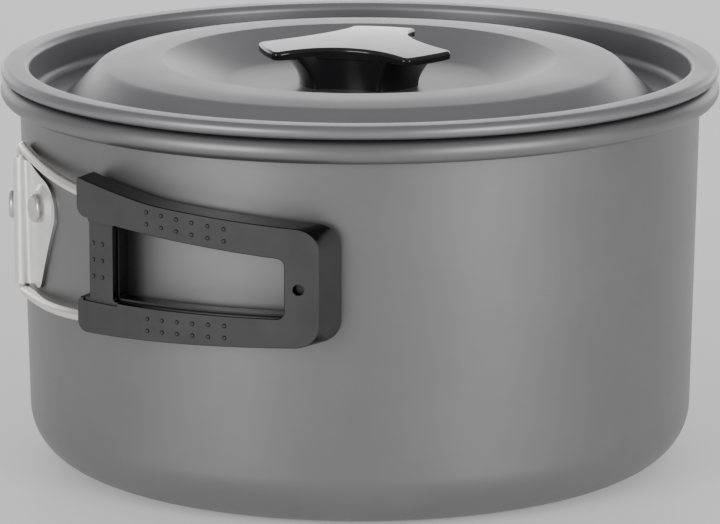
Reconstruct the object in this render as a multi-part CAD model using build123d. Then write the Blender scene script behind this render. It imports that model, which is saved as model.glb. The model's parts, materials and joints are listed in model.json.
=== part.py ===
from build123d import *
import os
from math import asin, cos, degrees, radians, sin, tan

# Lidded cook pot with one folding side handle.  Millimetres, +Z up.
# Origin: pot axis on the ground.  Front of the pot is -Y.
# Azimuths are measured from -Y towards -X, in degrees.

# ---- pot ----
SHEET = 1.0                 # pot wall and floor
WALL_FOOT_R = 92.88         # outer wall radius carried down to z = 0
WALL_DRAFT = 0.02           # outer radius gained per mm of height
CORNER_R = 15.0             # outer radius between floor and wall
CURL_Z = 104.05             # centre height of the rolled rim
CURL_R = 3.1                # outer radius of the rolled rim
CURL_SWEEP = 300            # degrees the rim is rolled

# ---- lid ----
LID_SHEET = 0.8
LID_FLOOR_Z = 104.8         # top of the recess the knob stands in
LID_CROWN_Z = 111.85
CHANNEL_Z = 101.0           # top of the channel floor
CHANNEL_WALL_R = 92.2       # inner face of the channel's outer wall
FLANGE_Z = 111.3
HEM_R = 98.15               # centre radius of the rolled lid edge
HEM_ROLL = 1.45             # middle radius of the rolled lid edge

# ---- knob ----
KNOB_TURN = 75.0            # plan angle of the first wing, from +X
KNOB_TIP = 28.6
KNOB_WAIST = 15.0
KNOB_HALF_ANGLE = 19.5
BOSS_HALF_ANGLE = 28.0
KNOB_PLATE_Z = 113.5        # underside of the wings
KNOB_TOP_Z = 117.2
KNOB_DOME_R = 281.0
INSERT_R = 4.0
INSERT_LENGTH = 8.0
SCREW_R = 1.95
WASHER_R = 6.0
WASHER_T = 0.8

# ---- handle wire and its pivot ----
PIVOT_AZ = 74.0
PIVOT_R = 96.6
WIRE_R = 1.5
WIRE_BEND = 3.0
WIRE_LOW_BEND = 2.2          # the bend under the bracket is tighter
WIRE_TOP_Z = 92.1
WIRE_LOW_Z = 51.6
HINGE_CLEARANCE = 0.08

# ---- bracket and rivets ----
BRACKET_T = 0.9
BRACKET_GAP = 0.05
BRACKET_LOW_Z = 53.7
BRACKET_TOP_Z = 88.3
HUMP_TOP_Z = 89.0
HUMP_FOOT_FILLET = 1.8
EAR_R = 7.8
FRONT_RIVET = (14.8, 77.5)  # distance forward of the pivot, height
REAR_RIVET = (-16.6, 72.1)
EMBOSS_FOOT_R = 6.6
EMBOSS_TOP_R = 4.7
EMBOSS_H = 1.2
RIVET_SHANK_R = 2.4
RIVET_HEAD_R = 4.0
RIVET_HEAD_H = 2.0

# ---- grip ----
GRIP_AZ = 25.5              # azimuth of the middle of the grip
GRIP_OUT_R = 105.2
GRIP_PARTING_R = 101.5
GRIP_IN_R = 96.2
GRIP_HALF = 36.3            # reach of the arms towards the pivot, seen square on
GRIP_END = 33.9             # reach of the far end at the outer radius, before its flare
GRIP_WIRE_R = 100.6         # radius the wire runs at inside the grip
GRIP_END_CORNER = 6.0
ARM_END_CORNER = 3.0
WINDOW_LEFT = -24.0
WINDOW_RIGHT = 26.5
BAR_LEFT = -32.2
BAR_RECESS = 0.8
PIN_X = 30.3
PIN_Z = 69.0
PIN_R = 1.5
PIN_SUNK = 2.2              # how far the pin's end lies below the outer face
END_FLARE = 0.25            # how much the far end widens towards the pot, per mm
LEDGE = 0.5                 # how far the inner shell shows inside the window
STUD_R = 0.75
STUD_PITCH = 4.57
STUD_COUNT = 6


def wall_r(z):
    """Outer radius of the pot wall at a height."""
    return WALL_FOOT_R + WALL_DRAFT * z


def at(azimuth, radius, z):
    """Point given by azimuth, radius and height."""
    return Vector(-radius * sin(radians(azimuth)), -radius * cos(radians(azimuth)), z)


def forward(azimuth, rise=0.0):
    """Unit direction along the wall towards the front, climbing by rise degrees."""
    level = Vector(cos(radians(azimuth)), -sin(radians(azimuth)), 0)
    return level * cos(radians(rise)) + Vector(0, 0, sin(radians(rise)))


def facing(azimuth):
    """Plane through the pot axis, looking outwards, with local y up."""
    outward = at(azimuth, 1, 0)
    return Plane(origin=(0, 0, 0), x_dir=forward(azimuth), z_dir=outward)


def polar(radius, angle):
    return (radius * cos(radians(angle)), radius * sin(radians(angle)))


def revolved_sheet(middle, thickness):
    """Turn an open middle line in the XZ plane into a sheet of revolution."""
    band = make_face(offset(middle, amount=thickness / 2, kind=Kind.ARC).edges())
    right_half = Pos(150, 50) * Rectangle(300, 400)
    return revolve(Plane.XZ * (band & right_half), Axis.Z, 360)


# ---------------------------------------------------------------- pot

def pot_body():
    half = SHEET / 2
    curl_middle = CURL_R - half
    wall_top = wall_r(CURL_Z) - half
    shell = FilletPolyline(
        (0, half),
        (wall_r(half) - half, half),
        (wall_top, CURL_Z),
        radius=CORNER_R - half,
    )
    curl = CenterArc((wall_top + curl_middle, CURL_Z), curl_middle, 180, -CURL_SWEEP)
    body = revolved_sheet(shell + curl, SHEET)
    for rivet in (FRONT_RIVET, REAR_RIVET):
        body -= rivet_hole(rivet)
    return body


# ---------------------------------------------------------------- lid

def lid():
    half = LID_SHEET / 2
    corners = [
        (38.0, LID_FLOOR_Z - half, 7.0),
        (55.0, LID_CROWN_Z - half, 1.6),
        (64.0, LID_CROWN_Z - 0.1 - half, 40.0),
        (72.3, LID_CROWN_Z - 1.2 - half, 4.5),
        (81.95, CHANNEL_Z - half, 3.0),
        (CHANNEL_WALL_R + half, CHANNEL_Z - half, 2.9),
        (CHANNEL_WALL_R + half, FLANGE_Z - half, 1.6),
    ]
    profile = FilletPolyline(
        (0, LID_FLOOR_Z - half),
        *[(r, z) for r, z, _ in corners],
        (HEM_R, FLANGE_Z - half),
        radius=[bend for _, _, bend in corners],
    )
    hem = CenterArc((HEM_R, FLANGE_Z - half - HEM_ROLL), HEM_ROLL, 90, -235)
    plate = revolved_sheet(profile + hem, LID_SHEET)
    return plate - Pos(0, 0, LID_FLOOR_Z) * Cylinder(SCREW_R + 0.25, 6)


# ---------------------------------------------------------------- knob

def tri_lobe(tip, waist, half_angle, corner):
    """Plan outline of three wings joined by hollow sides."""
    edges = []
    for wing in range(3):
        middle = KNOB_TURN + 120 * wing
        first = polar(tip, middle - half_angle)
        last = polar(tip, middle + half_angle)
        following = polar(tip, middle + 120 - half_angle)
        edges.append(ThreePointArc(first, polar(tip * 0.972, middle), last))
        edges.append(ThreePointArc(last, polar(waist, middle + 60), following))
    face = make_face(edges)
    return fillet(face.vertices(), corner)


def lid_knob():
    outline = tri_lobe(KNOB_TIP, KNOB_WAIST, KNOB_HALF_ANGLE, 2.2)
    plate = extrude(Pos(0, 0, KNOB_PLATE_Z) * outline, amount=6)
    plate &= Pos(0, 0, KNOB_TOP_Z - KNOB_DOME_R) * Sphere(KNOB_DOME_R)
    rim = plate.edges().filter_by(lambda e: e.center().Z > KNOB_PLATE_Z + 1.8)
    plate = fillet(rim, 0.9)
    under = plate.edges().filter_by(lambda e: e.center().Z < KNOB_PLATE_Z + 0.1)
    plate = fillet(under, 0.5)
    sections = [
        (LID_FLOOR_Z, 17.3, 12.6),
        (LID_FLOOR_Z + 2.6, 17.8, 12.8),
        (LID_FLOOR_Z + 6.2, 20.1, 13.4),
        (KNOB_PLATE_Z + 0.9, 23.4, 14.0),
    ]
    boss = loft([
        Pos(0, 0, z) * tri_lobe(tip, waist, BOSS_HALF_ANGLE, 1.6)
        for z, tip, waist in sections
    ])
    knob = plate + boss
    bore = Cylinder(INSERT_R, INSERT_LENGTH + 0.4, align=(Align.CENTER, Align.CENTER, Align.MIN))
    return knob - Pos(0, 0, LID_FLOOR_Z) * bore


def knob_insert():
    body = Cylinder(INSERT_R, INSERT_LENGTH)
    for groove_z in (-2.0, 2.0):
        ring = Cylinder(INSERT_R + 1, 1.0) - Cylinder(INSERT_R - 0.5, 1.0)
        body -= Pos(0, 0, groove_z) * ring
    body -= Cylinder(SCREW_R + 0.05, INSERT_LENGTH)
    return Pos(0, 0, LID_FLOOR_Z + INSERT_LENGTH / 2 + 0.2) * body


def knob_washer():
    body = Cylinder(WASHER_R, WASHER_T) - Cylinder(SCREW_R + 0.2, WASHER_T)
    body = fillet(body.edges().group_by(Axis.Z)[0].sort_by(SortBy.LENGTH)[-1], 0.3)
    return Pos(0, 0, LID_FLOOR_Z - LID_SHEET - WASHER_T / 2) * body


def knob_screw():
    seat = LID_FLOOR_Z - LID_SHEET - WASHER_T
    head = Pos(0, 0, seat - 1.3) * Cylinder(4.0, 2.6)
    head = fillet(head.edges().group_by(Axis.Z)[0], 1.6)
    shank = Pos(0, 0, seat + 4.2) * Cylinder(SCREW_R, 8.4)
    screw = head + shank
    screw = chamfer(screw.edges().group_by(Axis.Z)[-1], 0.5)
    for turn in (0, 90):
        screw -= Pos(0, 0, seat - 2.1) * Rot(0, 0, turn) * Box(0.9, 4.4, 1.4)
    return screw


# ---------------------------------------------------------------- bracket

def wall_zone(offset_out):
    """Solid bounded by the tapered wall, grown outwards, between two heights."""
    low, high = 40.0, 100.0
    cone = Cone(wall_r(low) + offset_out, wall_r(high) + offset_out, high - low)
    return Pos(0, 0, (low + high) / 2) * cone


def rivet_azimuth(rivet):
    return PIVOT_AZ - degrees(rivet[0] / wall_r(rivet[1]))


def rivet_axis(rivet, radius):
    """Location on the wall at a rivet, local z pointing outwards."""
    outward = at(rivet_azimuth(rivet), 1, 0)
    return Location(Plane(origin=at(rivet_azimuth(rivet), radius, rivet[1]), z_dir=outward))


def rivet_hole(rivet):
    return rivet_axis(rivet, wall_r(rivet[1])) * Cylinder(RIVET_SHANK_R + 0.05, 8)


def wing_outline(rivet, foot):
    """Flat outline of one wing: ear round the rivet, strip at the pivot, rounded foot."""
    side = 1 if rivet[0] > 0 else -1
    ear = Pos(*rivet) * Circle(EAR_R)
    lower = Pos(*foot) * Circle(4.0)
    strip_height = BRACKET_TOP_Z - BRACKET_LOW_Z
    strip_z = (BRACKET_TOP_Z + BRACKET_LOW_Z) / 2
    strip = Pos(side * 2.0, strip_z) * Rectangle(4.0, strip_height)
    return make_hull(ear.edges() + lower.edges() + strip.edges())


def handle_bracket():
    outline = wing_outline(FRONT_RIVET, (8.4, 57.7)) + wing_outline(REAR_RIVET, (-9.4, 57.7))
    prism = extrude(facing(PIVOT_AZ) * outline, amount=110)
    plate = prism & (wall_zone(BRACKET_GAP + BRACKET_T) - wall_zone(BRACKET_GAP))
    for rivet in (FRONT_RIVET, REAR_RIVET):
        boss = Cone(EMBOSS_FOOT_R, EMBOSS_TOP_R, EMBOSS_H)
        seat = wall_r(rivet[1]) + BRACKET_GAP + BRACKET_T + EMBOSS_H / 2
        skirt = Pos(0, 0, -EMBOSS_H / 2 - 0.3) * Cylinder(EMBOSS_FOOT_R, 0.6)
        plate += rivet_axis(rivet, seat) * (boss + skirt)
    height = BRACKET_TOP_Z - BRACKET_LOW_Z
    middle = at(PIVOT_AZ, PIVOT_R, BRACKET_LOW_Z + height / 2)
    hump_in = WIRE_R + HINGE_CLEARANCE
    plate += Pos(*middle) * Cylinder(hump_in + BRACKET_T, height)
    feet = [
        edge for edge in plate.edges()
        if edge.length > height * 0.9
        and abs(edge.center().Z - middle.Z) < 1
        and (edge.center() - middle).length < 4
    ]
    plate = fillet(feet, HUMP_FOOT_FILLET)
    collar = HUMP_TOP_Z - BRACKET_TOP_Z
    top = at(PIVOT_AZ, PIVOT_R, BRACKET_TOP_Z + collar / 2)
    plate += Pos(*top) * Cylinder(hump_in + BRACKET_T, collar)
    slot = Box(2 * hump_in, 2 * hump_in, height + 4)
    inward = Plane(origin=at(PIVOT_AZ, PIVOT_R - hump_in, middle.Z), x_dir=forward(PIVOT_AZ), z_dir=(0, 0, 1))
    plate -= Pos(*middle) * Cylinder(hump_in, height + 4)
    plate -= Location(inward) * slot
    plate -= wall_zone(BRACKET_GAP)
    for rivet in (FRONT_RIVET, REAR_RIVET):
        plate -= rivet_hole(rivet)
    return plate


def bracket_rivet(rivet):
    """Domed head outside, shank, flat head inside the pot."""
    seat = wall_r(rivet[1]) + BRACKET_GAP + BRACKET_T + EMBOSS_H
    inner_seat = wall_r(rivet[1]) - SHEET - 0.25
    head = Pos(0, 0, RIVET_HEAD_H / 2) * Cylinder(RIVET_HEAD_R, RIVET_HEAD_H)
    head = fillet(head.edges().group_by(Axis.Z)[-1], 0.9)
    length = seat - inner_seat
    shank = Pos(0, 0, -length / 2) * Cylinder(RIVET_SHANK_R, length + 0.4)
    tail = Pos(0, 0, -length - 0.6) * Cylinder(4.6, 1.2)
    tail = fillet(tail.edges().group_by(Axis.Z)[0], 0.7)
    return rivet_axis(rivet, seat) * (head + shank + tail)


# ---------------------------------------------------------------- wire

def leg_bend(z, side, rise, radius):
    """Arc from the upright leg into a run; side is +1 for the upper run."""
    heading = forward(PIVOT_AZ)
    up = Vector(0, 0, side)
    start = at(PIVOT_AZ, PIVOT_R, z - side * radius)
    centre = start + heading * radius
    sweep = 90 + rise
    points = [
        centre + (up * sin(radians(a)) - heading * cos(radians(a))) * radius
        for a in (0, sweep / 2, sweep)
    ]
    return ThreePointArc(*points), points[-1]


def grip_azimuth(x):
    """Azimuth of the wire run inside the grip at a flat grip coordinate."""
    return GRIP_AZ - degrees(asin(x / GRIP_WIRE_R))


def end_hook(z, side, tip_z):
    """Bend at the far end of a run and the short straight to its tip."""
    azimuth = grip_azimuth(PIN_X - WIRE_BEND)
    heading = forward(azimuth)
    towards = Vector(0, 0, -side)
    start = at(azimuth, GRIP_WIRE_R, z)
    centre = start + towards * WIRE_BEND
    points = [
        centre + (heading * sin(radians(a)) - towards * cos(radians(a))) * WIRE_BEND
        for a in (0, 45, 90)
    ]
    tip = Vector(points[-1].X, points[-1].Y, tip_z)
    return ThreePointArc(*points), Line(points[-1], tip), start


def wire_path():
    """Open loop: hook, upper run, pivot leg, lower run, hook."""
    upper_bend, upper_start = leg_bend(WIRE_TOP_Z, 1, 6.5, WIRE_BEND)
    lower_bend, lower_start = leg_bend(WIRE_LOW_Z, -1, 3.0, WIRE_LOW_BEND)
    upper_hook, upper_tip, upper_end = end_hook(80.9, 1, 72.4)
    lower_hook, lower_tip, lower_end = end_hook(57.4, -1, 65.6)
    upper_stations = [
        (62.0, 97.6, 90.2),
        (53.5, 99.4, 88.7),
        (46.0, GRIP_WIRE_R, 87.4),
        (33.0, GRIP_WIRE_R, 85.0),
        (22.0, GRIP_WIRE_R, 82.7),
    ]
    lower_stations = [
        (62.0, 97.6, 52.0),
        (53.5, 99.4, 52.8),
        (46.0, GRIP_WIRE_R, 53.8),
        (33.0, GRIP_WIRE_R, 55.6),
        (22.0, GRIP_WIRE_R, 56.7),
    ]
    far = grip_azimuth(PIN_X - WIRE_BEND)
    upper_run = Spline(
        upper_start,
        *[at(*station) for station in upper_stations],
        upper_end,
        tangents=[forward(PIVOT_AZ, -6.5), forward(far)],
    )
    lower_run = Spline(
        lower_start,
        *[at(*station) for station in lower_stations],
        lower_end,
        tangents=[forward(PIVOT_AZ, 3.0), forward(far)],
    )
    leg = Line(
        at(PIVOT_AZ, PIVOT_R, WIRE_TOP_Z - WIRE_BEND),
        at(PIVOT_AZ, PIVOT_R, WIRE_LOW_Z + WIRE_LOW_BEND),
    )
    pieces = [upper_tip, upper_hook, upper_run, upper_bend, leg, lower_bend, lower_run, lower_hook, lower_tip]
    return Wire([piece.edge() for piece in pieces])


def round_bar(radius):
    path = wire_path()
    start = Plane(origin=path @ 0, z_dir=path % 0)
    return sweep(start * Circle(radius), path=path)


# ---------------------------------------------------------------- grip

def window_top(x):
    return 79.3 - 0.091 * x


def window_low(x):
    return 60.8 + 0.008 * x


def grip_frame(flare):
    """Outer outline seen from outside, its far end moved out by flare."""
    left, right = -GRIP_HALF, GRIP_END + flare
    corners = [
        (left, 93.0, 1.0),
        (-12.0, 88.6, 90.0),
        (right, 84.7, GRIP_END_CORNER),
        (right, 53.5, GRIP_END_CORNER),
        (left, 50.9, ARM_END_CORNER),
        (left, window_low(left), 1.6),
        (BAR_LEFT, window_low(BAR_LEFT), 0.4),
        (BAR_LEFT, window_top(BAR_LEFT), 0.4),
        (left, window_top(left), ARM_END_CORNER),
    ]
    points = [(x, z) for x, z, _ in corners]
    radii = [corner for _, _, corner in corners]
    return make_face(FilletPolyline(*points, radius=radii, close=True))


def grip_window(inset):
    """Window between the arms, drawn in by inset on every side."""
    left, right = WINDOW_LEFT + inset, WINDOW_RIGHT - inset
    corners = [
        (left, window_top(left) - inset, 0.9),
        (right, window_top(right) - inset, 2.0),
        (right, window_low(right) + inset, 2.0),
        (left, window_low(left) + inset, 0.9),
    ]
    points = [(x, z) for x, z, _ in corners]
    radii = [corner - inset for _, _, corner in corners]
    return make_face(FilletPolyline(*points, radius=radii, close=True))


def ring(inner, outer):
    """Upright ring round the pot axis between two radii."""
    return Pos(0, 0, 70) * (Cylinder(outer, 80) - Cylinder(inner, 80))


def grip_slab(inner, outer, inset):
    """Grip between two radii: the far end widens towards the pot, the window goes through."""
    near, far = 80.0, 110.0
    facing_out = facing(GRIP_AZ)
    sections = [
        facing_out.offset(depth) * grip_frame(END_FLARE * (GRIP_OUT_R - depth))
        for depth in (near, far)
    ]
    slab = loft(sections, ruled=True)
    slab -= extrude(facing_out * grip_window(inset), amount=far + 10)
    return slab & ring(inner, outer)


def face_edges(part, radius):
    """Edges lying on the cylinder of a given radius round the pot axis."""
    return [
        edge for edge in part.edges()
        if all(abs(Vector(p.X, p.Y, 0).length - radius) < 0.02 for p in (edge @ 0.1, edge @ 0.5, edge @ 0.9))
    ]


def pin_hole():
    return extrude(facing(GRIP_AZ) * (Pos(PIN_X, PIN_Z) * Circle(PIN_R)), amount=120)


def studs():
    """Small raised dots on the arms and the cross bar."""
    first = -STUD_PITCH * (STUD_COUNT - 1) / 2 - 0.8
    spots = []
    for column in range(STUD_COUNT):
        x = first + STUD_PITCH * column
        upper = (88.0 - 0.115 * x + window_top(x)) / 2
        lower = (52.1 + 0.034 * x + window_low(x)) / 2
        spots += [(x, mid + row, GRIP_OUT_R) for mid in (upper, lower) for row in (-1.6, 1.6)]
    bar_face = GRIP_OUT_R - BAR_RECESS
    spots += [(x, 71.2 + row, bar_face) for x in (-30.7, -27.5) for row in (-4.5, 0, 4.5)]
    return [
        Pos(*at(GRIP_AZ - degrees(asin(x / radius)), radius - 0.45, z)) * Sphere(STUD_R)
        for x, z, radius in spots
    ]


def grip_outer_shell():
    shell = grip_slab(GRIP_PARTING_R, GRIP_OUT_R, 0)
    shell = fillet(face_edges(shell, GRIP_OUT_R), 0.35)
    bar = Pos((BAR_LEFT + WINDOW_LEFT) / 2, 70.6) * Rectangle(12, 21.8)
    recess = extrude(facing(GRIP_AZ) * bar, amount=120)
    shell -= recess & ring(GRIP_OUT_R - BAR_RECESS, GRIP_OUT_R + 1)
    shell -= pin_hole()
    shell -= round_bar(WIRE_R + 0.02)
    for stud in studs():
        shell += stud
    return shell


def grip_inner_shell():
    shell = grip_slab(GRIP_IN_R, GRIP_PARTING_R, LEDGE)
    shell = fillet(face_edges(shell, GRIP_IN_R), 1.2)
    shell -= pin_hole()
    shell -= round_bar(WIRE_R + 0.02)
    return shell


def grip_pin():
    return pin_hole() & ring(GRIP_IN_R + 0.6, GRIP_OUT_R - PIN_SUNK)


PARTS = {
    "pot_body": pot_body,
    "lid": lid,
    "lid_knob": lid_knob,
    "knob_insert": knob_insert,
    "knob_washer": knob_washer,
    "knob_screw": knob_screw,
    "handle_bracket": handle_bracket,
    "bracket_rivet_front": lambda: bracket_rivet(FRONT_RIVET),
    "bracket_rivet_rear": lambda: bracket_rivet(REAR_RIVET),
    "handle_wire": lambda: round_bar(WIRE_R),
    "grip_outer_shell": grip_outer_shell,
    "grip_inner_shell": grip_inner_shell,
    "grip_pin": grip_pin,
}

os.makedirs("parts", exist_ok=True)
for name, make in PARTS.items():
    export_step(make(), f"parts/{name}.step")
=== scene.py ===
import json
import math

import bpy
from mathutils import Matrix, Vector


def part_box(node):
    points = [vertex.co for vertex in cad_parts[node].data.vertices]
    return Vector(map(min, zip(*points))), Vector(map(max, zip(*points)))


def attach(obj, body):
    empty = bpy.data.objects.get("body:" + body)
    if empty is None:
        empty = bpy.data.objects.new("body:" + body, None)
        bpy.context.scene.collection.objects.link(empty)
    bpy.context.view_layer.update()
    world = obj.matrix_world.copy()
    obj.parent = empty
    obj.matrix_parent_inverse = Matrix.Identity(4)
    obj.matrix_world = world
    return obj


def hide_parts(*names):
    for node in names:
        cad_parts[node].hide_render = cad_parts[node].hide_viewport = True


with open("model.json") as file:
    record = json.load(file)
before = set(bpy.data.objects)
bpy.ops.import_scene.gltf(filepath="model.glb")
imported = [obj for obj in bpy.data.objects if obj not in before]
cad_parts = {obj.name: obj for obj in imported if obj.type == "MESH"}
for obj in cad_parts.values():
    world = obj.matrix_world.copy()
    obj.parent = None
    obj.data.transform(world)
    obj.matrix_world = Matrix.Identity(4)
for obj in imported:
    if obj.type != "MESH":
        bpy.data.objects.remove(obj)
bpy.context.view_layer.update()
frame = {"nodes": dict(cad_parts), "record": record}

MM = 0.001

# Pot and lid sections, in millimetres, as the CAD has them.
SHEET = 1.0
WALL_FOOT_R = 92.88
WALL_DRAFT = 0.02
CORNER_R = 15.0
CURL_Z = 104.05
CURL_R = 3.1
CURL_SWEEP = 300
LID_SHEET = 0.8
LID_FLOOR_Z = 104.8
LID_CROWN_Z = 111.85
CHANNEL_Z = 101.0
CHANNEL_WALL_R = 92.2
FLANGE_Z = 111.3
HEM_R = 98.15
HEM_ROLL = 1.45
HEM_SWEEP = 235

# Sizes of the turned meshes.
SEGMENTS = 288               # round the axis
LONGEST_STEP = 6.0           # mm, along a straight stretch of a section

# The grip, in the row's frame.
GRIP_AZ = 25.5               # azimuth of its middle, in degrees
# The far end face also carries a painted highlight, faded in over GRIP_END_FADE.
GRIP_END = 0.0345            # metres along the grip where its far end face begins
GRIP_END_FADE = 0.001        # metres

# Where the painted shade on the bracket's edges stops, as (near, far) distances in metres.
HUMP_KEEP = (0.0045, 0.0055)
RIVET_KEEP = (0.0070, 0.0074)

# Studio, in metres, degrees and watts.
SENSOR = 36                  # mm
CAMERA_PLACE = Vector((0.0, -1.3104, 0.3478))
CAMERA_DIP = 12.672          # degrees below level
CAMERA_LENS = 238.3          # mm
AIM = (0, 0, 0.06)
SIDE_POWER = 14
BACK_POWER = 32
WORLD_STRENGTH = 0.48
FLOOR_HALF = 3.0
FLOOR_DROP = 0.0002


# ------------------------------------------------------------ node helpers

class Nodes:
    """A small builder for one material's node tree."""

    def __init__(self, name):
        self.material = bpy.data.materials.new(name)
        self.material.use_nodes = True
        self.tree = self.material.node_tree
        self.shader = self.tree.nodes["Principled BSDF"]
        self.place = self.new("ShaderNodeTexCoord").outputs["Object"]

    def new(self, kind, **settings):
        node = self.tree.nodes.new(kind)
        for key, value in settings.items():
            setattr(node, key, value)
        return node

    def link(self, source, target):
        self.tree.links.new(source, target)

    def set(self, **values):
        for key, value in values.items():
            self.shader.inputs[key.replace("_", " ")].default_value = value

    def stretched(self, scale):
        """Object coordinates stretched along each axis."""
        mapping = self.new("ShaderNodeMapping")
        mapping.inputs["Scale"].default_value = scale
        self.link(self.place, mapping.inputs["Vector"])
        return mapping.outputs["Vector"]

    def round_axis(self):
        """Radius and height round the pot's axis, so that a pattern runs round it."""
        split = self.new("ShaderNodeSeparateXYZ")
        self.link(self.place, split.inputs[0])
        flat = self.new("ShaderNodeCombineXYZ")
        self.link(split.outputs["X"], flat.inputs["X"])
        self.link(split.outputs["Y"], flat.inputs["Y"])
        length = self.new("ShaderNodeVectorMath", operation="LENGTH")
        self.link(flat.outputs[0], length.inputs[0])
        rings = self.new("ShaderNodeCombineXYZ")
        self.link(length.outputs["Value"], rings.inputs["X"])
        self.link(split.outputs["Z"], rings.inputs["Z"])
        return rings.outputs[0]

    def facing_out(self):
        """1 on faces that look straight away from the pot's axis, 0 on edges and sides."""
        coordinates = self.new("ShaderNodeTexCoord")
        flat = self.new("ShaderNodeMapping", vector_type="POINT")
        flat.inputs["Scale"].default_value = (1, 1, 0)
        self.link(coordinates.outputs["Object"], flat.inputs["Vector"])
        outward = self.new("ShaderNodeVectorMath", operation="NORMALIZE")
        self.link(flat.outputs["Vector"], outward.inputs[0])
        facing = self.new("ShaderNodeVectorMath", operation="DOT_PRODUCT")
        self.link(outward.outputs["Vector"], facing.inputs[0])
        self.link(coordinates.outputs["Normal"], facing.inputs[1])
        return facing.outputs["Value"]

    def beyond(self, point, near, far, flat):
        """0 within near of a point, 1 past far; flat measures from the upright line through it."""
        offset = self.new("ShaderNodeVectorMath", operation="SUBTRACT")
        self.link(self.place, offset.inputs[0])
        offset.inputs[1].default_value = point
        level = self.new("ShaderNodeVectorMath", operation="MULTIPLY")
        self.link(offset.outputs["Vector"], level.inputs[0])
        level.inputs[1].default_value = (1, 1, 0) if flat else (1, 1, 1)
        length = self.new("ShaderNodeVectorMath", operation="LENGTH")
        self.link(level.outputs["Vector"], length.inputs[0])
        return self.spread(length.outputs["Value"], 0.0, 1.0, near, far)

    def blend(self, factor, first, socket):
        """From a plain colour to the colour that a socket gives."""
        node = self.new("ShaderNodeMix", data_type="RGBA")
        node.inputs["A"].default_value = (*first, 1)
        self.link(socket, node.inputs["B"])
        self.link(factor, node.inputs["Factor"])
        return node.outputs["Result"]

    def noise(self, scale, detail=3.0, roughness=0.5, vector=None):
        node = self.new("ShaderNodeTexNoise")
        node.inputs["Scale"].default_value = scale
        node.inputs["Detail"].default_value = detail
        node.inputs["Roughness"].default_value = roughness
        self.link(vector or self.place, node.inputs["Vector"])
        return node.outputs["Fac"]

    def spread(self, value, low, high, start=0.3, end=0.7):
        """Map start..end onto low..high, held at both ends."""
        node = self.new("ShaderNodeMapRange", clamp=True)
        for key, number in (("From Min", start), ("From Max", end), ("To Min", low), ("To Max", high)):
            node.inputs[key].default_value = number
        self.link(value, node.inputs["Value"])
        return node.outputs["Result"]

    def mixed(self, factor, first, second):
        """From one plain colour to another."""
        node = self.new("ShaderNodeMix", data_type="RGBA")
        node.inputs["A"].default_value = (*first, 1)
        node.inputs["B"].default_value = (*second, 1)
        self.link(factor, node.inputs["Factor"])
        return node.outputs["Result"]

    def combined(self, operation, first, second):
        """Two values put together by a Math node."""
        node = self.new("ShaderNodeMath", operation=operation)
        self.link(first, node.inputs[0])
        self.link(second, node.inputs[1])
        return node.outputs[0]

    def product(self, first, second):
        return self.combined("MULTIPLY", first, second)

    def greater(self, first, second):
        return self.combined("MAXIMUM", first, second)

    def total(self, first, second):
        return self.combined("ADD", first, second)

    def bump(self, height, distance, strength, after=None):
        node = self.new("ShaderNodeBump")
        node.inputs["Distance"].default_value = distance
        node.inputs["Strength"].default_value = strength
        self.link(height, node.inputs["Height"])
        if after is not None:
            self.link(after, node.inputs["Normal"])
        return node.outputs["Normal"]

    def colour(self, socket):
        self.link(socket, self.shader.inputs["Base Color"])

    def gloss(self, socket):
        self.link(socket, self.shader.inputs["Roughness"])

    def surface(self, socket):
        self.link(socket, self.shader.inputs["Normal"])


def anodised(name, dark, light, rough, spin_lines):
    """Satin hard-anodised aluminium: fine etched grain, faint turning lines, slight mottling."""
    n = Nodes(name)
    n.set(Metallic=0.85, Specular_IOR_Level=0.4)
    mottling = n.noise(38.0, 4.0, 0.6)
    n.colour(n.mixed(n.spread(mottling, 0.0, 1.0), dark, light))
    lines = n.noise(2600.0, 2.0, 0.6, n.round_axis())
    smears = n.noise(24.0, 3.0, 0.55)
    n.gloss(n.total(n.spread(smears, rough - 0.03, rough + 0.03), n.spread(lines, 0.0, 0.03)))
    grain = n.noise(5200.0, 2.0, 0.7)
    etched = n.bump(grain, 0.00003, 0.35)
    n.surface(n.bump(lines, 0.00004, spin_lines, etched))
    return n.material


def satin_steel(name, dark, light, rough, line_scale, line_strength, painted_edge_shade=None, keep=()):
    """Steel with fine rolling or drawing lines and handling marks.

    painted_edge_shade is a dark colour painted on a sheet's edges as shade, and keep lists the (point,
    near, far, flat) places that don't get it.
    """
    n = Nodes(name)
    n.set(Metallic=1.0)
    marks = n.noise(220.0, 4.0, 0.65)
    face = n.mixed(n.spread(marks, 0.0, 1.0), dark, light)
    if painted_edge_shade is not None:
        # Painted shade: the dark colour goes on the sheet's edges and sides and stands in for the shadow
        # and gap along them.
        cut = n.spread(n.facing_out(), 1.0, 0.0, 0.1, 0.3)
        for place in keep:
            cut = n.product(cut, n.beyond(*place))
        clear_of_edge_shade = n.spread(cut, 1.0, 0.0, 0.0, 1.0)
        face = n.blend(clear_of_edge_shade, painted_edge_shade, face)
    n.colour(face)
    lines = n.noise(1.0, 3.0, 0.6, n.stretched(line_scale))
    n.gloss(n.total(n.spread(marks, rough - 0.04, rough + 0.05), n.spread(lines, 0.0, 0.06)))
    n.surface(n.bump(lines, 0.00003, line_strength))
    return n.material


def moulded(name, dark, light, rough, grain_scale, grain_strength):
    """Injection-moulded plastic: spark-eroded grain with patches of slightly higher gloss."""
    n = Nodes(name)
    n.set(Specular_IOR_Level=0.4)
    patches = n.noise(90.0, 3.0, 0.6)
    n.colour(n.mixed(n.spread(patches, 0.0, 1.0), dark, light))
    n.gloss(n.spread(patches, rough - 0.04, rough + 0.05))
    grain = n.noise(grain_scale, 3.0, 0.65)
    n.surface(n.bump(grain, 0.00004, grain_strength))
    return n.material


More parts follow.
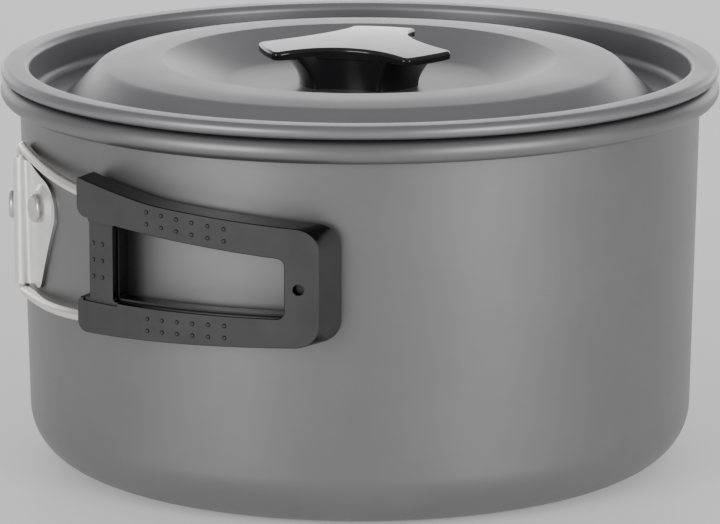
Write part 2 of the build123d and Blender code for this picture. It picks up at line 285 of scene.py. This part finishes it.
def grip_plastic(name):
    """Grip shells: spark-eroded outer and inner faces, polished edges and window sides. The far end face
    gets most of the faces' grey, partly as its own finish and partly as painted highlight; the
    near-black of the edges and sides is partly their polish and partly painted shade on the top faces.
    """
    n = Nodes(name)
    n.set(Specular_IOR_Level=0.15)
    along = n.new("ShaderNodeVectorMath", operation="DOT_PRODUCT")
    n.link(n.place, along.inputs[0])
    turn = math.radians(GRIP_AZ)
    along.inputs[1].default_value = (math.cos(turn), -math.sin(turn), 0)
    # Painted highlight: the far end face takes 70% of the lighter textured colour, grain and roughness,
    # partly as its own finish.
    end_face_highlight = n.spread(along.outputs["Value"], 0.0, 0.7, GRIP_END, GRIP_END + GRIP_END_FADE)
    broad = n.spread(n.facing_out(), 0.0, 1.0, 0.75, 0.95)
    texture_and_highlight = n.greater(broad, end_face_highlight)
    patches = n.noise(90.0, 3.0, 0.6)
    dull = n.mixed(n.spread(patches, 0.0, 1.0), (0.056, 0.056, 0.057), (0.07, 0.07, 0.071))
    # Near-black on edges and sides, partly the polished finish and partly painted shade on the top
    # faces; grey on the textured faces.
    n.colour(n.blend(texture_and_highlight, (0.0008, 0.0008, 0.0009), dull))
    rough = n.spread(texture_and_highlight, 0.2, 0.44, 0.0, 1.0)
    n.gloss(n.total(rough, n.spread(patches, -0.03, 0.04)))
    grain = n.product(n.noise(2600.0, 3.0, 0.65), texture_and_highlight)
    n.surface(n.bump(grain, 0.00003, 0.35))
    return n.material


def box_middle(node):
    """Middle of a CAD node's box at rest."""
    low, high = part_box(node)
    return tuple((a + b) / 2 for a, b in zip(low, high))


# The bracket's hump stands on the hinge's line, and each rivet on its raised seat; the painted edge
# shade stays off both.
JOINTS = frame["record"]["behaviour"]["joints"]
PIVOT = next(joint["pos_m"] for joint in JOINTS if joint["name"] == "handle_swing")
EDGE_SHADE_KEEP = [
    (tuple(PIVOT), *HUMP_KEEP, True),
    (box_middle("bracket_rivet_front"), *RIVET_KEEP, False),
    (box_middle("bracket_rivet_rear"), *RIVET_KEEP, False),
]

MATERIALS = {
    "hard_anodised_aluminium": anodised(
        "anodised_wall", (0.22, 0.217, 0.218), (0.239, 0.236, 0.237), 0.42, 0.18),
    "hard_anodised_lid": anodised(
        "anodised_lid", (0.268, 0.264, 0.276), (0.288, 0.284, 0.296), 0.4, 0.2),
    "bracket_steel": satin_steel(
        "steel_bracket", (0.84, 0.83, 0.82), (0.90, 0.89, 0.88), 0.32, (900, 900, 60), 0.12,
        # Dark painted shade along the bracket's edges.
        painted_edge_shade=(0.12, 0.12, 0.12), keep=EDGE_SHADE_KEEP),
    "wire_steel": satin_steel(
        "steel_wire", (0.82, 0.795, 0.77), (0.88, 0.855, 0.83), 0.3, (400, 400, 40), 0.02),
    "rivet_steel": satin_steel(
        "steel_rivet", (0.62, 0.61, 0.60), (0.70, 0.69, 0.68), 0.28, (700, 700, 700), 0.12),
    # The pin is near-black, far darker than the other steel parts.
    "pin_steel": satin_steel(
        "steel_pin", (0.045, 0.045, 0.045), (0.08, 0.08, 0.08), 0.34, (700, 700, 700), 0.12),
    "screw_steel": satin_steel(
        "steel_screw", (0.56, 0.56, 0.55), (0.64, 0.64, 0.63), 0.3, (800, 800, 800), 0.12),
    "insert_brass": satin_steel(
        "brass_insert", (0.72, 0.54, 0.26), (0.80, 0.62, 0.32), 0.3, (900, 900, 120), 0.15),
    "grip_plastic": grip_plastic("plastic_grip"),
    "knob_plastic": moulded(
        "plastic_knob", (0.006, 0.006, 0.007), (0.009, 0.009, 0.010), 0.13, 900.0, 0.04),
}


def paint(thing, slot):
    thing.data.materials.clear()
    thing.data.materials.append(MATERIALS[slot])


# ------------------------------------------------------------ turned pieces

def rounded(corners, step=7.0):
    """Points along a line of (x, z, radius) corners, rounded by arcs; the ends have no radius."""
    points = [Vector(corners[0][:2])]
    for before, here, after in zip(corners, corners[1:], corners[2:]):
        corner = Vector(here[:2])
        back = (Vector(before[:2]) - corner).normalized()
        ahead = (Vector(after[:2]) - corner).normalized()
        half = back.angle(ahead) / 2
        centre = corner + (back + ahead).normalized() * (here[2] / math.sin(half))
        first = corner + back * (here[2] / math.tan(half)) - centre
        last = corner + ahead * (here[2] / math.tan(half)) - centre
        turn = first.angle_signed(last)
        count = max(2, math.ceil(abs(math.degrees(turn)) / step))
        for k in range(count + 1):
            angle = -turn * k / count
            spun = Vector((
                first.x * math.cos(angle) - first.y * math.sin(angle),
                first.x * math.sin(angle) + first.y * math.cos(angle),
            ))
            points.append(centre + spun)
    points.append(Vector(corners[-1][:2]))
    return points


def arc(centre, radius, start, sweep, step):
    """Points of an arc after its first point; angles and the longest step in degrees."""
    count = math.ceil(abs(sweep) / step)
    angles = [math.radians(start + sweep * k / count) for k in range(1, count + 1)]
    return [Vector((centre[0] + radius * math.cos(a), centre[1] + radius * math.sin(a))) for a in angles]


def subdivided(points, longest):
    """The same line with long straight stretches cut into even steps."""
    result = [points[0]]
    for a, b in zip(points, points[1:]):
        count = max(1, math.ceil((b - a).length / longest))
        result += [a.lerp(b, k / count) for k in range(1, count + 1)]
    return result


def sheet_outline(middle, half):
    """Both faces of a sheet that follows a middle line from the axis, with a rounded free edge."""
    inner, outer = [], []
    for k, point in enumerate(middle):
        before = middle[max(k - 1, 0)]
        after = middle[min(k + 1, len(middle) - 1)]
        along = (after - before).normalized()
        side = Vector((-along.y, along.x)) * half
        inner.append(point + side)
        outer.append(point - side)
    inner[0].x = outer[0].x = 0.0
    edge = math.degrees(math.atan2(along.y, along.x)) + 90
    return inner + arc(middle[-1], half, edge, -180, 30)[:-1] + outer[::-1]


def turned(name, outline):
    """Spin an outline whose ends lie on the axis into a closed, smooth shell."""
    vertices = [(0, 0, outline[0].y * MM)]
    for k in range(SEGMENTS):
        angle = math.tau * k / SEGMENTS
        for point in outline[1:-1]:
            radius = point.x * MM
            vertices.append((radius * math.cos(angle), radius * math.sin(angle), point.y * MM))
    vertices.append((0, 0, outline[-1].y * MM))
    ring = len(outline) - 2
    last = len(vertices) - 1
    faces = []
    for k in range(SEGMENTS):
        here, there = 1 + k * ring, 1 + (k + 1) % SEGMENTS * ring
        faces.append((0, there, here))
        for j in range(ring - 1):
            faces.append((here + j, there + j, there + j + 1, here + j + 1))
        faces.append((last, here + ring - 1, there + ring - 1))
    mesh = bpy.data.meshes.new(name)
    mesh.from_pydata(vertices, [], faces)
    mesh.validate()
    mesh.shade_smooth()
    thing = bpy.data.objects.new(name, mesh)
    bpy.context.scene.collection.objects.link(thing)
    return thing


def turned_pot():
    """Pot shell with a rounded foot and an outward curled rim."""
    half = SHEET / 2
    curl_middle = CURL_R - half
    wall_top = WALL_FOOT_R + WALL_DRAFT * CURL_Z - half
    wall = rounded([
        (0, half),
        (WALL_FOOT_R - half, half, CORNER_R - half),
        (wall_top, CURL_Z),
    ], 4.0)
    curl = arc((wall_top + curl_middle, CURL_Z), curl_middle, 180, -CURL_SWEEP, 12.0)
    return turned("pot_shell", sheet_outline(subdivided(wall, LONGEST_STEP) + curl, half))


def turned_lid():
    """Lid: knob recess, crowned step, channel, flat flange and rolled edge."""
    half = LID_SHEET / 2
    hem_centre = (HEM_R, FLANGE_Z - half - HEM_ROLL)
    press = rounded([
        (0, LID_FLOOR_Z - half),
        (38.0, LID_FLOOR_Z - half, 7.0),
        (55.0, LID_CROWN_Z - half, 1.6),
        (64.0, LID_CROWN_Z - 0.1 - half, 40.0),
        (72.3, LID_CROWN_Z - 1.2 - half, 4.5),
        (81.95, CHANNEL_Z - half, 3.0),
        (CHANNEL_WALL_R + half, CHANNEL_Z - half, 2.9),
        (CHANNEL_WALL_R + half, FLANGE_Z - half, 1.6),
        (HEM_R, FLANGE_Z - half),
    ])
    hem = arc(hem_centre, HEM_ROLL, 90, -HEM_SWEEP, 15.0)
    return turned("lid_pressing", sheet_outline(subdivided(press, LONGEST_STEP) + hem, half))


# ------------------------------------------------------------ stage

def softbox(name, place, width, height, power):
    """A soft lamp turned towards the pot, that the camera doesn't see."""
    lamp = bpy.data.lights.new(name, "AREA")
    lamp.shape = "RECTANGLE"
    lamp.size = width
    lamp.size_y = height
    lamp.energy = power
    thing = bpy.data.objects.new(name, lamp)
    thing.location = place
    thing.rotation_euler = (Vector(AIM) - Vector(place)).to_track_quat("-Z", "Y").to_euler()
    thing.visible_camera = False
    bpy.context.scene.collection.objects.link(thing)


def studio():
    """Two softboxes in front, a wide one behind, a plain world and a pale floor."""
    softbox("left_softbox", (-1.25, -1.35, 0.45), 0.75, 0.9, SIDE_POWER)
    softbox("right_softbox", (1.25, -1.35, 0.45), 0.75, 0.9, SIDE_POWER)
    softbox("back_softbox", (0, 2.4, 0.5), 4.6, 1.0, BACK_POWER)
    world = bpy.data.worlds.new("studio")
    world.use_nodes = True
    world.node_tree.nodes["Background"].inputs["Color"].default_value = (1, 1, 1, 1)
    world.node_tree.nodes["Background"].inputs["Strength"].default_value = WORLD_STRENGTH
    bpy.context.scene.world = world

    mesh = bpy.data.meshes.new("floor")
    corners = [(FLOOR_HALF * x, FLOOR_HALF * y, 0) for x, y in ((-1, -1), (1, -1), (1, 1), (-1, 1))]
    mesh.from_pydata(corners, [], [(0, 1, 2, 3)])
    floor = bpy.data.objects.new("floor", mesh)
    floor.location.z = -FLOOR_DROP
    bpy.context.scene.collection.objects.link(floor)
    n = Nodes("floor_paint")
    n.set(Specular_IOR_Level=0.2, Roughness=0.6, Emission_Strength=0.2)
    n.shader.inputs["Emission Color"].default_value = (1, 1, 1, 1)
    n.colour(n.mixed(n.spread(n.noise(3.0), 0.0, 1.0), (0.86, 0.86, 0.86), (0.88, 0.88, 0.88)))
    mesh.materials.append(n.material)


def camera():
    data = bpy.data.cameras.new("camera")
    data.sensor_width = SENSOR
    data.lens = CAMERA_LENS
    data.clip_start = 0.05
    thing = bpy.data.objects.new("camera", data)
    thing.location = CAMERA_PLACE
    thing.rotation_euler = (math.radians(90 - CAMERA_DIP), 0, 0)
    bpy.context.scene.collection.objects.link(thing)
    bpy.context.scene.camera = thing


# ------------------------------------------------------------ build

slots = {part["node"]: part["material_slot"] for part in frame["record"]["subparts"]}
for name, thing in frame["nodes"].items():
    paint(thing, slots[name])
for thing, node, body in ((turned_pot(), "pot_body", "pot"), (turned_lid(), "lid", "lid_assembly")):
    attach(thing, body)
    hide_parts(node)
    paint(thing, slots[node])
studio()
camera()
